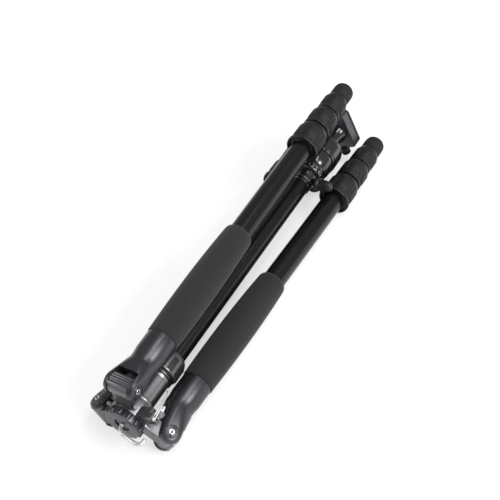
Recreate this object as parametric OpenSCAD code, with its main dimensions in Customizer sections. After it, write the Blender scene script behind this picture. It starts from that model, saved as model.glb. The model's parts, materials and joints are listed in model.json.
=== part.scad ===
// Travel tripod folded for carrying: three four-section legs swung up round the
// centre column and the ball head. Millimetres. The column lies along X with the
// hub at low X, the feet at high X and the first leg on top.

/* [Legs] */
// angle between neighbouring legs round the column
leg_spacing_deg = 120; // [119:0.5:120]
// outward lean of each folded leg
splay_deg = 1.7; // [1.2:0.1:2.0]
// distance of the leg pins from the column axis
pin_radius = 40.5; // [40:0.1:42]
// how far the leg tubes lie inside their pins
tube_drop = 7.5; // [7:0.1:8]
// outer radius of the largest leg tube
tube_1_r = 12.5; // [12.3:0.05:12.5]
// step in radius from one leg tube to the next
tube_step = 1.5; // [1.5:0.05:1.6]
// wall of the leg tubes
tube_wall = 1.2; // [1:0.05:1.25]
// end of the largest tube, measured from the pin
tube_1_end = 386; // [380:1:388]
// start of the largest tube in its casting
tube_1_start = 30; // [29:0.5:32]
// how much each inner tube starts beyond the one round it
tube_nest_step = 14; // [12:0.5:15]
// distance from tube end to tube end when folded
tube_end_step = 30.5; // [30:0.1:31]

/* [Leg locks and feet] */
// low end of the first twist lock, from the pin
lock_1_start = 355; // [354.5:0.5:358]
// low end of the second twist lock
lock_2_start = 391.5; // [391:0.1:392]
// low end of the third twist lock
lock_3_start = 422.8; // [422.3:0.1:423.3]
// start of the rubber foot
foot_start = 452.8; // [452.3:0.1:453.3]
// tip of the rubber foot
foot_end = 475; // [472:0.5:480]
// radius of the first lock over its pads
lock_1_r = 18.4; // [18:0.1:18.5]
// radius of the rim at the low end of the first lock
lock_rim_r = 19.1; // [18.7:0.1:19.2]
// radius of the second lock over its pads
lock_2_r = 16.9; // [16.5:0.1:17.1]
// radius of the third lock over its pads
lock_3_r = 15.1; // [14.7:0.1:15.2]
// radius of the rubber foot
foot_r = 12.5; // [12:0.1:12.8]
// height of the raised rubber pads on the locks
pad_height = 0.8; // [0.5:0.1:1]
// axial gap between one lock and the next
lock_gap = 0.4; // [0.3:0.05:0.5]

/* [Grips and castings] */
// boundary between casting and foam grip
grip_start = 61; // [58:0.5:64]
// top of the foam grip
grip_end = 210; // [204:1:216]
// largest radius of the foam grip
grip_r = 17.7; // [17.2:0.1:17.9]
// radius of the casting's barrel
barrel_r = 15.6; // [15:0.1:16]
// end of the flare from the ears to the barrel
flare_end = 26; // [25:0.5:28]
// half width of the casting over its ears
casting_half = 17; // [16.8:0.1:17.2]
// radius of the ears round the pin
ear_r = 10.5; // [10:0.1:11]
// rounding of the ears' outer edges
ear_round = 5; // [3.5:0.5:5]
// inner faces of the ears
ear_inner = 11.3; // [11.2:0.1:11.6]
// start of the solid part of the casting beyond the pin
web_start = 12.5; // [12.4:0.1:13]
// radius of the hinge bolt
bolt_r = 3; // [2.5:0.1:3.5]
// radius of the hinge bolt head
bolt_head_r = 6.3; // [6:0.1:6.6]

/* [Hub] */
// underside of the hub, measured from the pins
hub_low = 9.5; // [9:0.1:9.5]
// top of the hub, measured from the pins
hub_top = 8; // [7:0.1:8.5]
// radius of the hub body
hub_r = 19; // [18:0.1:19]
// half width of the arms that carry the lugs
arm_half = 8; // [7:0.1:8.5]
// radius of the lugs round the pins
lug_r = 9.5; // [9:0.1:9.5]
// distance of the bail's pin from the column axis
bail_radius = 39; // [38.5:0.1:39.5]
// radius of the light neck
neck_r = 14.2; // [14:0.1:14.5]
// start of the ribbed column collar
collar_start = 46; // [45:0.5:47]
// end of the ribbed column collar
collar_end = 69; // [68:0.5:71]
// radius of the ribbed column collar
collar_r = 17; // [16.5:0.1:17]

/* [Column, cap and hook] */
// radius of the centre column
column_r = 12.5; // [12.3:0.05:12.5]
// wall of the centre column
column_wall = 1.2; // [1:0.05:1.25]
// start of the ring under the head
base_ring_start = 341; // [338:0.5:343]
// radius of the ring under the head
base_ring_r = 13.8; // [13.6:0.1:14.5]
// radius of the lobed bottom cap
cap_r = 20.5; // [19.5:0.1:20.5]
// thickness of the bottom cap
cap_thick = 7.2; // [6.8:0.1:8]
// radius of the hook wire
hook_wire_r = 1.9; // [1.7:0.05:2]
// radius of the hook's first bend, to the middle of its wire
hook_bend_r = 8; // [7.5:0.1:8.5]
// length of the straight run across the hook
hook_run = 16; // [15:0.5:17]
// radius of the curl at the hook's end
hook_curl_r = 5; // [4.5:0.1:5.5]
// pull of the hook against its spring
hook_travel = 6; // [4:0.5:6]

/* [Head] */
// start of the head on its ring
head_start = 358; // [357:0.5:359]
// radius of the panning base
pan_r = 19; // [18:0.1:19]
// length of the panning base
pan_length = 13; // [12.5:0.1:13]
// radius of the ball housing
housing_r = 21.5; // [20.5:0.1:21.5]
// start of the wide friction collar
friction_start = 391; // [390:0.5:392]
// end of the wide friction collar
friction_end = 417; // [416:0.5:417.5]
// how far the friction collar stands out over the housing
friction_step = 1.2; // [0.8:0.1:1.4]
// radius of the ball
ball_r = 15; // [14.5:0.1:15]
// centre of the ball, measured from the pins
ball_at = 414; // [413.5:0.5:415]
// radius of the ball's stem
stem_r = 11; // [10:0.1:11.5]
// underside of the clamp, measured from the pins
clamp_start = 448; // [447:0.5:449]
// underside of the camera plate
plate_start = 456.5; // [456:0.5:458]
// top of the camera plate
plate_top = 463; // [462.5:0.5:464]
// half length of the camera plate
plate_half_length = 23; // [22:0.5:23]
// half width of the camera plate
plate_half_width = 18.5; // [17.5:0.5:18.5]
// direction that the ribbed side of the clamp faces, from the first leg
clamp_turn_deg = 68; // [66:1:70]
// radius of the camera screw
camera_screw_r = 3.175; // [3:0.005:3.5]
// height of the camera screw over the plate
camera_screw_rise = 5.5; // [4.5:0.1:6]
// direction of the panning knob, from the first leg
pan_knob_deg = 85; // [80:1:86]
// place of the panning knob along the column
pan_knob_at = 350; // [349:0.5:351]
// reach of the panning knob from the column axis
pan_knob_reach = 39; // [37:0.5:39]
// reach of the main knob from the column axis
main_knob_reach = 37; // [34:0.5:37]
// reach of the clamp's knob from the column axis
clamp_knob_reach = 32; // [30:0.5:32]
// how far the clamp's loose jaw opens
jaw_travel = 1.5; // [1:0.1:1.6]

/* [Fits] */
// radial gap of a sliding or turning fit
run_gap = 0.08; // [0.05:0.01:0.1]
// gap between parts that lie face to face
seat_gap = 0.15; // [0.1:0.01:0.2]
// gap between bodies that pass each other
pass_gap = 0.3; // [0.3:0.05:0.4]

/* [Hidden] */
$fn = 64;

tube_2_r = tube_1_r - tube_step;
tube_3_r = tube_2_r - tube_step;
tube_4_r = tube_3_r - tube_step;
tube_2_start = tube_1_start + tube_nest_step;
tube_3_start = tube_2_start + tube_nest_step;
tube_4_start = tube_3_start + tube_nest_step;
tube_2_end = tube_1_end + tube_end_step;
tube_3_end = tube_2_end + tube_end_step;
tube_4_end = foot_start + (foot_end - foot_start) * 0.4;
hair = seat_gap * 0.1;
lug_half = ear_inner - pass_gap;
inner_depth = tube_drop + barrel_r;
tab_low = inner_depth * 0.86;
tab_height = inner_depth * 0.3;
foot_tip_share = 0.62;

cap_top = -hub_low - pass_gap;
cap_bottom = cap_top - cap_thick;
spring_floor = cap_top - cap_thick * 0.3;
hook_head_at = spring_floor + hook_travel * 2.2;
hook_bend_at = cap_bottom - seat_gap;
hook_lean_deg = 80;
hook_curl_deg = 130;
hook_bead_r = hook_wire_r * 1.12;
hook_run_from = [hook_bend_r * sin(hook_lean_deg), hook_bend_r * (1 - cos(hook_lean_deg))];
hook_run_to = hook_run_from + hook_run * [cos(hook_lean_deg), sin(hook_lean_deg)];
hook_curl_middle = hook_run_to + hook_curl_r * [-sin(hook_lean_deg), cos(hook_lean_deg)];
hook_tip = hook_bend_at - hook_run_to[0] - hook_bead_r;
foot_reach = foot_end * cos(splay_deg) + (tube_drop + foot_r * foot_tip_share) * sin(splay_deg);
middle_x = (foot_reach + hook_tip) / 2;
lock_1_length = lock_2_start - lock_gap - lock_1_start;
lock_rim_share = 0.14;
rim_out = pin_radius - tube_drop * cos(splay_deg) + (lock_1_start + lock_1_length * lock_rim_share) * sin(splay_deg);
lift = rim_out * 0.5 + lock_rim_r * sqrt(1 - pow(sin(splay_deg) * 0.5, 2));

plate_corner = plate_half_width * 0.25;
plate_reach = norm([plate_half_width - plate_corner, plate_half_length - plate_corner]) + plate_corner;
clamp_height = plate_start - clamp_start;
clamp_half = plate_half_length * 0.98;
pan_stub_end = pan_knob_reach * 0.75;
pan_stub_r = base_ring_r * 0.3;

bail_at = -hub_low * 0.85;
bail_wire_r = hook_wire_r * 0.7;
bail_lug_half = lug_half * 0.5;
bail_slot_half = bail_lug_half * 0.55;

// placing

module in_place() {
    translate([-middle_x, 0, lift])
        children();
}

module leg_frame(turns) {
    in_place()
        rotate([turns * leg_spacing_deg, 0, 0])
            translate([0, 0, pin_radius])
                rotate([0, -splay_deg, 0])
                    children();
}

module on_leg_axis(at) {
    translate([at, 0, -tube_drop])
        rotate([0, 90, 0])
            children();
}

module on_axis(at) {
    translate([at, 0, 0])
        rotate([0, 90, 0])
            children();
}

module spun(profile) {
    rotate_extrude()
        polygon(profile);
}

module across(r, half) {
    rotate([90, 0, 0])
        cylinder(r = r, h = half * 2, center = true);
}

module facing(turn_deg, at) {
    translate([at, 0, 0])
        rotate([turn_deg, 0, 0])
            children();
}

// legs

module casting_shell() {
    length = grip_start - flare_end;
    hull($fn = 32) {
        across(ear_r, casting_half - ear_round);
        across(ear_r - ear_round * 0.3, casting_half - ear_round * 0.3);
        across(ear_r - ear_round, casting_half);
        on_leg_axis(flare_end)
            cylinder(r = barrel_r * 0.99, h = length * 0.05);
    }
    on_leg_axis(flare_end)
        spun([
            [0, 0], [barrel_r * 0.97, 0], [barrel_r * 0.94, length * 0.2], [barrel_r, length * 0.43],
            [barrel_r, length], [0, length]
        ]);
}

module leg_casting() {
    color([0.16, 0.17, 0.2])
        difference() {
            casting_shell();
            translate([-ear_r * 2, -ear_inner, -inner_depth * 1.5])
                cube([ear_r * 2 + web_start, ear_inner * 2, inner_depth * 3]);
            across(bolt_r + hair, casting_half * 1.5);
            for (side = [-1, 1])
                translate([0, side * casting_half, 0])
                    across(bolt_head_r + seat_gap, casting_half * 0.12);
            on_leg_axis(tube_1_start)
                cylinder(r = tube_1_r + hair, h = grip_start);
            rotate([0, splay_deg, 0])
                translate([-grip_start * 0.5, 0, -pin_radius])
                    rotate([0, 90, 0])
                        cylinder(r = collar_r + pass_gap * 2, h = grip_start * 2);
            translate([web_start * 0.5, -arm_half - pass_gap, -inner_depth * 1.5])
                cube([
                    tube_1_start - web_start, (arm_half + pass_gap) * 2,
                    inner_depth * 1.5 - tab_low + tab_height + seat_gap
                ]);
        }
}

module leg_bolt() {
    head = casting_half * 0.12;
    color([0.75, 0.76, 0.78])
        difference() {
            union() {
                across(bolt_r, casting_half - head * 0.8);
                for (side = [-1, 1])
                    translate([0, side * (casting_half - head * 0.45), 0]) {
                        across(bolt_head_r * 0.62, head * 0.42);
                        translate([0, -side * head * 0.15, 0])
                            across(bolt_head_r, head * 0.25);
                    }
            }
            for (side = [-1, 1])
                translate([0, side * casting_half, 0])
                    rotate([90, 0, 0])
                        cylinder(r = bolt_r * 0.9, h = head * 1.6, center = true, $fn = 6);
        }
}

module leg_tab() {
    length = (tube_1_start - web_start * 1.5) * 0.5;
    color([0.5, 0.52, 0.55])
        difference() {
            translate([web_start + pass_gap, -arm_half, -tab_low])
                cube([length, arm_half * 2, tab_height]);
            translate([web_start + length * 0.6, 0, -tab_low])
                across(length * 0.16, arm_half * 1.2);
        }
}

module leg_grip() {
    length = grip_end - grip_start;
    bore = tube_1_r + hair;
    swell_shares = [
        [0, 0.925], [0.02, 0.935], [0.26, 0.98], [0.46, 1], [0.72, 0.977], [0.86, 0.955],
        [0.965, 0.91], [1, 0.84]
    ];
    color([0.13, 0.13, 0.13])
        on_leg_axis(grip_start)
            spun(concat(
                [[bore, 0]],
                [for (share = swell_shares) [grip_r * share[1], length * share[0]]],
                [[bore, length]]
            ));
}

module leg_tube(r, start, end, bush_r) {
    color([0.05, 0.05, 0.06])
        on_leg_axis(start)
            difference() {
                union() {
                    cylinder(r = r, h = end - start);
                    cylinder(r = bush_r, h = tube_nest_step * 0.8);
                }
                translate([0, 0, -tube_nest_step])
                    cylinder(r = r - tube_wall, h = end - start + tube_nest_step * 2);
            }
}

module twist_lock(r, rim_r, start, end, low_bore, high_bore, step_at) {
    length = end - start;
    body = r - pad_height;
    color([0.09, 0.09, 0.1])
        on_leg_axis(start) {
            spun([
                [low_bore, 0], [rim_r * 0.97, 0], [rim_r, length * 0.04], [rim_r, length * lock_rim_share],
                [body, length * 0.18], [body, length * 0.8], [body * 0.92, length], [high_bore, length],
                [high_bore, step_at - start], [low_bore, step_at - start]
            ]);
            for (i = [0:5])
                rotate([0, 0, i * 60 + 8])
                    rotate_extrude(angle = 44)
                        translate([body * 0.9, length * 0.22])
                            square([r - body * 0.9, length * 0.5]);
        }
}

module leg_foot() {
    length = foot_end - foot_start;
    socket = tube_4_end - foot_start + hair;
    color([0.08, 0.08, 0.08])
        on_leg_axis(foot_start)
            spun([
                [0, socket], [tube_4_r + hair, socket], [tube_4_r + hair, 0], [foot_r * 0.95, 0],
                [foot_r, length * 0.12], [foot_r, length * 0.7], [foot_r * 0.93, length * 0.86],
                [foot_r * foot_tip_share, length], [0, length]
            ]);
}

module lock_1() {
    twist_lock(lock_1_r, lock_rim_r, lock_1_start, lock_2_start - lock_gap, tube_1_r + run_gap,
        tube_2_r + run_gap, tube_1_end + lock_gap);
}

module lock_2() {
    twist_lock(lock_2_r, lock_2_r * 0.97, lock_2_start, lock_3_start - lock_gap, tube_2_r + run_gap,
        tube_3_r + run_gap, tube_2_end + lock_gap);
}

module lock_3() {
    twist_lock(lock_3_r, lock_3_r * 0.97, lock_3_start, foot_start - lock_gap, tube_3_r + run_gap,
        tube_4_r + run_gap, tube_3_end + lock_gap);
}

module tube_1() {
    leg_tube(tube_1_r, tube_1_start, tube_1_end, tube_1_r);
}

module tube_2() {
    leg_tube(tube_2_r, tube_2_start, tube_2_end, tube_1_r - tube_wall - run_gap);
}

module tube_3() {
    leg_tube(tube_3_r, tube_3_start, tube_3_end, tube_2_r - tube_wall - run_gap);
}

module tube_4() {
    leg_tube(tube_4_r, tube_4_start, tube_4_end, tube_3_r - tube_wall - run_gap);
}

// hub

module lug() {
    across(lug_r, lug_half);
    for (turn = [-64, -81, -98])
        rotate([0, turn, 0])
            translate([lug_r, 0, 0])
                across(lug_r * 0.13, lug_half * 0.97);
    rotate([0, -127, 0])
        translate([lug_r * 0.95, 0, 0])
            across(lug_r * 0.25, lug_half * 0.97);
}

module spider() {
    color([0.35, 0.36, 0.38])
        in_place()
            difference() {
                union() {
                    on_axis(-hub_low)
                        cylinder(r = hub_r, h = hub_low + hub_top);
                    for (turn = [0:2])
                        rotate([turn * leg_spacing_deg, 0, 0]) {
                            translate([-lug_r * 0.88, -arm_half, hub_r * 0.8])
                                cube([lug_r * 1.45, arm_half * 2, pin_radius - hub_r * 0.8]);
                            translate([0, 0, pin_radius])
                                lug();
                        }
                    rotate([leg_spacing_deg / 2, 0, 0]) {
                        translate([-hub_low * 0.96, -bail_lug_half, hub_r * 0.8])
                            cube([hub_low * 1.1, bail_lug_half * 2, bail_radius - hub_r * 0.98]);
                        translate([bail_at, 0, bail_radius])
                            for (side = [-1, 1])
                                translate([0, side * (bail_lug_half + bail_slot_half) / 2, -bail_wire_r * 2])
                                    cube([hub_low * 0.6, bail_lug_half - bail_slot_half, bail_wire_r * 8],
                                        center = true);
                    }
                }
                on_axis(-hub_low * 2)
                    cylinder(r = column_r + run_gap, h = hub_low * 6);
                for (turn = [0:2])
                    rotate([turn * leg_spacing_deg, 0, 0])
                        translate([0, 0, pin_radius])
                            across(bolt_r + run_gap, lug_half * 1.5);
                rotate([leg_spacing_deg / 2, 0, 0])
                    translate([bail_at, 0, bail_radius])
                        across(bail_wire_r * 0.8 + hair, bail_lug_half * 1.5);
            }
}

module neck() {
    color([0.72, 0.73, 0.75])
        in_place()
            on_axis(hub_top)
                difference() {
                    union() {
                        cylinder(r = neck_r, h = collar_end - hub_top - (collar_end - collar_start) * 0.25);
                        cylinder(r = neck_r * 1.1, h = hub_top * 0.5);
                    }
                    translate([0, 0, -hub_top])
                        cylinder(r = column_r + run_gap, h = collar_end * 2);
                }
}

module neck_rings() {
    ring_r = (neck_r + collar_r) / 2;
    width = (collar_start - hub_top) * 0.035;
    color([0.6, 0.6, 0.62])
        in_place()
            for (i = [0:1])
                on_axis(collar_start - pass_gap - width * (2.2 * i + 1))
                    difference() {
                        cylinder(r = ring_r, h = width);
                        translate([0, 0, -width])
                            cylinder(r = neck_r + hair, h = width * 3);
                    }
}

module column_collar() {
    length = collar_end - collar_start;
    body = collar_r - pad_height;
    step = length * 0.75 + pass_gap;
    color([0.1, 0.1, 0.11])
        in_place()
            on_axis(collar_start) {
                spun([
                    [neck_r + run_gap, 0], [body, 0], [body, length * 0.82], [body * 0.9, length],
                    [column_r + run_gap, length], [column_r + run_gap, step], [neck_r + run_gap, step]
                ]);
                for (i = [0:9])
                    rotate([0, 0, i * 36])
                        rotate_extrude(angle = 26)
                            translate([body * 0.95, length * 0.1])
                                square([collar_r - body * 0.95, length * 0.64]);
            }
}

module bail() {
    reach = hub_low * 3;
    color([0.78, 0.79, 0.8])
        in_place()
            rotate([leg_spacing_deg / 2, 0, 0])
                translate([bail_at, 0, bail_radius])
                    difference() {
                        union() {
                            across(bail_wire_r * 1.8, bail_slot_half - pass_gap);
                            rotate([0, 10, 0])
                                for (side = [-1, 1])
                                    translate([bail_wire_r, side * bail_wire_r * 0.7, 0])
                                        rotate([0, 90, 0])
                                            cylinder(r = bail_wire_r, h = reach);
                            rotate([0, 10, 0])
                                translate([reach + bail_wire_r, 0, 0]) {
                                    across(bail_wire_r * 1.2, bail_wire_r * 2);
                                    rotate([0, 35, 0])
                                        cylinder(r = bail_wire_r, h = reach * 0.2);
                                }
                        }
                        across(bail_wire_r * 0.8 + run_gap, bail_lug_half);
                    }
}

module bail_pin() {
    color([0.6, 0.6, 0.62])
        in_place()
            rotate([leg_spacing_deg / 2, 0, 0])
                translate([bail_at, 0, bail_radius])
                    across(bail_wire_r * 0.8, bail_lug_half);
}

// column, cap and hook

module column() {
    top = base_ring_start + (head_start - base_ring_start) * 0.65;
    color([0.05, 0.05, 0.06])
        in_place()
            on_axis(cap_top)
                difference() {
                    cylinder(r = column_r, h = top - cap_top);
                    translate([0, 0, -hub_low])
                        cylinder(r = column_r - column_wall, h = head_start * 1.2);
                }
}

module base_ring() {
    length = head_start - base_ring_start;
    color([0.1, 0.1, 0.11])
        in_place()
            difference() {
                union() {
                    on_axis(base_ring_start)
                        spun([
                            [0, length * 0.7], [column_r + hair, length * 0.7], [column_r + hair, 0],
                            [base_ring_r * 0.97, 0], [base_ring_r, length * 0.06], [base_ring_r, length * 0.94],
                            [base_ring_r * 0.98, length], [0, length]
                        ]);
                    facing(pan_knob_deg, pan_knob_at)
                        translate([0, 0, column_r + seat_gap])
                            cylinder(r = pan_stub_r, h = pan_stub_end - column_r - seat_gap);
                }
                on_axis(base_ring_start - length)
                    cylinder(r = camera_screw_r, h = length * 3);
            }
}

module bottom_cap() {
    lobe = cap_r * 0.12;
    color([0.12, 0.12, 0.13])
        in_place()
            difference() {
                union() {
                    on_axis(cap_bottom)
                        cylinder(r = cap_r - lobe * 0.8, h = cap_thick);
                    for (i = [0:11])
                        on_axis(cap_bottom + cap_thick * 0.12)
                            rotate([0, 0, i * 30])
                                translate([cap_r - lobe, 0, 0])
                                    cylinder(r = lobe, h = cap_thick * 0.76);
                    on_axis(cap_top)
                        cylinder(r = column_r - column_wall - hair, h = hub_low * 1.4);
                }
                on_axis(cap_bottom * 2)
                    cylinder(r = hook_wire_r + run_gap, h = pin_radius * 2);
                on_axis(spring_floor)
                    cylinder(r = hook_wire_r * 3.4, h = pin_radius);
                on_axis(cap_bottom - cap_thick * 0.8)
                    cylinder(r = cap_r * 0.4, h = cap_thick);
            }
}

module hook_bead(at, heading_deg) {
    translate([-at[0], 0, at[1]])
        rotate([0, heading_deg - 90, 0])
            sphere(r = hook_bead_r);
}

module hook_arc(middle, r, heading_deg, turn_deg) {
    translate([-middle[0], 0, middle[1]])
        rotate([90, 0, 0])
            rotate([0, 0, 270 - heading_deg - turn_deg])
                rotate_extrude(angle = turn_deg)
                    translate([r, 0])
                        circle(r = hook_wire_r, $fn = 32);
}

module hook() {
    color([0.8, 0.81, 0.83])
        in_place() {
            on_axis(hook_bend_at)
                cylinder(r = hook_wire_r, h = hook_head_at - hook_bend_at);
            on_axis(hook_head_at)
                cylinder(r = hook_wire_r * 3, h = hook_wire_r);
            facing(90, hook_bend_at) {
                hook_bead([0, 0], 0);
                hook_arc([0, hook_bend_r], hook_bend_r, 0, hook_lean_deg);
                hook_bead(hook_run_from, hook_lean_deg);
                translate([-hook_run_from[0], 0, hook_run_from[1]])
                    rotate([0, hook_lean_deg - 90, 0])
                        cylinder(r = hook_wire_r, h = hook_run);
                hook_bead(hook_run_to, hook_lean_deg);
                hook_arc(hook_curl_middle, hook_curl_r, hook_lean_deg, hook_curl_deg);
            }
        }
}

module hook_spring() {
    wire = hook_wire_r * 0.35;
    color([0.7, 0.7, 0.7])
        in_place()
            for (i = [0:4])
                on_axis(spring_floor + seat_gap + wire + i * wire * 1.8)
                    rotate_extrude()
                        translate([hook_wire_r * 2.2, 0])
                            circle(r = wire, $fn = 24);
}

// head

module pan_base() {
    color([0.06, 0.06, 0.07])
        in_place()
            difference() {
                union() {
                    on_axis(head_start + hair)
                        spun([
                            [0, 0], [base_ring_r, 0], [pan_r * 0.96, pan_length * 0.12],
                            [pan_r, pan_length * 0.3], [pan_r, pan_length], [0, pan_length]
                        ]);
                    on_axis(head_start + pan_length - hair)
                        cylinder(r = pan_r * 0.5, h = pan_length * 0.6);
                }
                on_axis(head_start - pan_length)
                    cylinder(r = camera_screw_r, h = pan_length * 1.7);
            }
}

module pan_knob() {
    low = pan_r + pass_gap;
    length = pan_knob_reach - low;
    r = pan_r * 0.42;
    bore = pan_stub_r + run_gap;
    bore_end = pan_stub_end - low + pass_gap;
    color([0.05, 0.05, 0.06])
        in_place()
            facing(pan_knob_deg, pan_knob_at)
                translate([0, 0, low])
                    spun([
                        [bore, 0], [r, 0], [r, length * 0.25], [r * 0.78, length * 0.9],
                        [r * 0.7, length], [0, length], [0, bore_end], [bore, bore_end]
                    ]);
}

module head_housing() {
    start = head_start + pan_length + pass_gap;
    shell = friction_start - start;
    length = friction_end - start;
    color([0.06, 0.06, 0.07])
        in_place()
            difference() {
                union() {
                    on_axis(start)
                        spun([
                            [0, 0], [pan_r, 0], [housing_r * 0.96, shell * 0.3], [housing_r, shell * 0.7],
                            [housing_r, shell - pass_gap], [housing_r * 0.93, shell],
                            [housing_r * 0.93, length], [0, length]
                        ]);
                    facing(180, start + shell * 0.5)
                        cylinder(r = housing_r * 0.28, h = main_knob_reach * 0.75);
                }
                on_axis(head_start)
                    cylinder(r = pan_r * 0.5 + run_gap, h = pan_length * 1.6 + pass_gap);
                translate([ball_at, 0, 0])
                    rotate([0, 90, 0])
                        sphere(r = ball_r + run_gap, $fn = 96);
                on_axis(ball_at + ball_r * 0.5)
                    cylinder(r = ball_r, h = ball_r * 2);
            }
}

module main_knob() {
    at = head_start + pan_length + pass_gap;
    low = housing_r + pass_gap;
    bore = housing_r * 0.28 + run_gap;
    length = main_knob_reach - low;
    r = housing_r * 0.42;
    color([0.05, 0.05, 0.06])
        in_place()
            facing(180, at + (friction_start - at) * 0.5)
                translate([0, 0, low])
                    spun([
                        [bore, 0], [r * 0.9, 0], [r * 0.9, length * 0.2], [r, length * 0.25], [r, length * 0.85],
                        [r * 0.85, length], [0, length], [0, main_knob_reach * 0.75 - low + pass_gap],
                        [bore, main_knob_reach * 0.75 - low + pass_gap]
                    ]);
}

module friction_collar() {
    length = friction_end - friction_start;
    outer = housing_r + friction_step;
    color([0.3, 0.31, 0.33])
        in_place()
            on_axis(friction_start)
                spun([
                    [housing_r * 0.93 + run_gap, 0], [outer * 0.97, 0], [outer, length * 0.08],
                    [outer, length * 0.88], [outer * 0.95, length], [housing_r * 0.93 + run_gap, length]
                ]);
}

module ball() {
    color([0.1, 0.1, 0.11])
        in_place() {
            translate([ball_at, 0, 0])
                rotate([0, 90, 0])
                    sphere(r = ball_r, $fn = 96);
            on_axis(ball_at)
                cylinder(r = stem_r, h = clamp_start - ball_at - hair);
            on_axis(clamp_start - ball_r * 0.25)
                cylinder(r = ball_r * 0.85, h = ball_r * 0.25 - hair);
        }
}

module clamp_body() {
    color([0.3, 0.31, 0.33])
        in_place()
            difference() {
                intersection() {
                    facing(clamp_turn_deg, clamp_start) {
                        translate([0, -clamp_half, -plate_half_width * 0.78])
                            cube([clamp_height - seat_gap, clamp_half * 2, plate_half_width * 1.7]);
                        translate([0, -clamp_half, plate_half_width * 0.7])
                            cube([clamp_height * 1.35, clamp_half * 2, plate_half_width * 0.27]);
                        for (i = [0:6])
                            translate([clamp_height * (0.14 + i * 0.18), -clamp_half, plate_half_width * 0.97])
                                rotate([-90, 0, 0])
                                    cylinder(r = clamp_height * 0.045, h = clamp_half * 2, $fn = 24);
                    }
                    on_axis(clamp_start - clamp_height)
                        cylinder(r = plate_reach, h = clamp_height * 3);
                }
                facing(clamp_turn_deg + 90, clamp_start + clamp_height * 0.25)
                    translate([0, 0, clamp_half * 0.5])
                        cylinder(r = clamp_height * 0.2 + run_gap, h = clamp_half);
            }
}

module clamp_jaw() {
    half = plate_half_length * 0.9;
    color([0.2, 0.2, 0.22])
        in_place()
            facing(clamp_turn_deg, clamp_start)
                translate([0, -half, -plate_half_width * 0.97])
                    cube([clamp_height * 1.35, half * 2, plate_half_width * 0.18]);
}

module clamp_knob() {
    r = clamp_height * 0.68;
    low = clamp_half + pass_gap;
    length = clamp_knob_reach - low;
    shaft_from = clamp_half * 0.5 + pass_gap;
    color([0.05, 0.05, 0.06])
        in_place()
            facing(clamp_turn_deg + 90, clamp_start + clamp_height * 0.25) {
                translate([0, 0, shaft_from])
                    cylinder(r = clamp_height * 0.2, h = low - shaft_from + length * 0.5);
                translate([0, 0, low])
                    spun([
                        [0, 0], [r * 0.85, 0], [r, length * 0.15], [r, length * 0.85],
                        [r * 0.85, length], [0, length]
                    ]);
            }
}

module plate() {
    inner = [plate_half_width - plate_corner, plate_half_length - plate_corner];
    thick = plate_top - plate_start;
    color([0.12, 0.12, 0.13])
        in_place()
            facing(clamp_turn_deg, plate_start)
                difference() {
                    rotate([0, 90, 0])
                        linear_extrude(height = thick) {
                            square([plate_half_width * 2, inner[1] * 2], center = true);
                            square([inner[0] * 2, plate_half_length * 2], center = true);
                            for (a = [-1, 1])
                                for (b = [-1, 1])
                                    translate([a * inner[0], b * inner[1]])
                                        circle(r = plate_corner);
                        }
                    translate([0, -plate_half_length * 1.5, plate_half_width * 0.68])
                        cube([clamp_height * 0.35 + pass_gap, plate_half_length * 3, plate_half_width]);
                    translate([-clamp_height, -plate_half_length * 1.5, -plate_half_width * 1.68])
                        cube([clamp_height * 1.35 + pass_gap, plate_half_length * 3, plate_half_width]);
                    translate([-clamp_height, 0, 0])
                        rotate([0, 90, 0])
                            cylinder(r = camera_screw_r + run_gap, h = clamp_height * 4);
                    translate([-clamp_height, 0, 0])
                        rotate([0, 90, 0])
                            cylinder(r = camera_screw_r * 2.4, h = clamp_height + thick * 0.5);
                }
}

module plate_screw() {
    thick = plate_top - plate_start;
    head = thick * 0.46;
    color([0.75, 0.76, 0.78])
        in_place()
            difference() {
                union() {
                    on_axis(plate_start)
                        cylinder(r = camera_screw_r * 2.2, h = head);
                    on_axis(plate_start)
                        cylinder(r = camera_screw_r * 0.9, h = thick);
                    on_axis(plate_top)
                        cylinder(r = camera_screw_r, h = camera_screw_rise);
                }
                on_axis(plate_start - head)
                    cylinder(r = camera_screw_r * 0.7, h = head * 1.8, $fn = 6);
            }
}

module plate_pad() {
    thick = pad_height;
    color([0.07, 0.07, 0.07])
        in_place()
            facing(clamp_turn_deg, plate_top)
                for (side = [-1, 1])
                    translate([thick / 2, side * plate_half_length * 0.55, 0])
                        cube([thick, plate_half_length * 0.5, plate_half_width * 1.5], center = true);
}

module bubble_level() {
    color([0.6, 0.75, 0.3])
        in_place()
            facing(clamp_turn_deg, clamp_start + clamp_height * 0.45)
                translate([0, clamp_half + hair, 0])
                    rotate([-90, 0, 0])
                        cylinder(r = clamp_height * 0.25, h = pad_height);
}

spider();
neck();
neck_rings();
column_collar();
bail();
bail_pin();
column();
base_ring();
bottom_cap();
hook();
hook_spring();
pan_base();
head_housing();
friction_collar();
ball();
clamp_body();
clamp_jaw();
clamp_knob();
plate();
plate_screw();
plate_pad();
main_knob();
pan_knob();
bubble_level();
leg_frame(0) leg_casting();  // leg_a_casting
leg_frame(0) leg_bolt();  // leg_a_bolt
leg_frame(0) leg_tab();  // leg_a_tab
leg_frame(0) leg_grip();  // leg_a_grip
leg_frame(0) tube_1();  // leg_a_tube_1
leg_frame(0) lock_1();  // leg_a_lock_1
leg_frame(0) tube_2();  // leg_a_tube_2
leg_frame(0) lock_2();  // leg_a_lock_2
leg_frame(0) tube_3();  // leg_a_tube_3
leg_frame(0) lock_3();  // leg_a_lock_3
leg_frame(0) tube_4();  // leg_a_tube_4
leg_frame(0) leg_foot();  // leg_a_foot
leg_frame(1) leg_casting();  // leg_b_casting
leg_frame(1) leg_bolt();  // leg_b_bolt
leg_frame(1) leg_tab();  // leg_b_tab
leg_frame(1) leg_grip();  // leg_b_grip
leg_frame(1) tube_1();  // leg_b_tube_1
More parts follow.
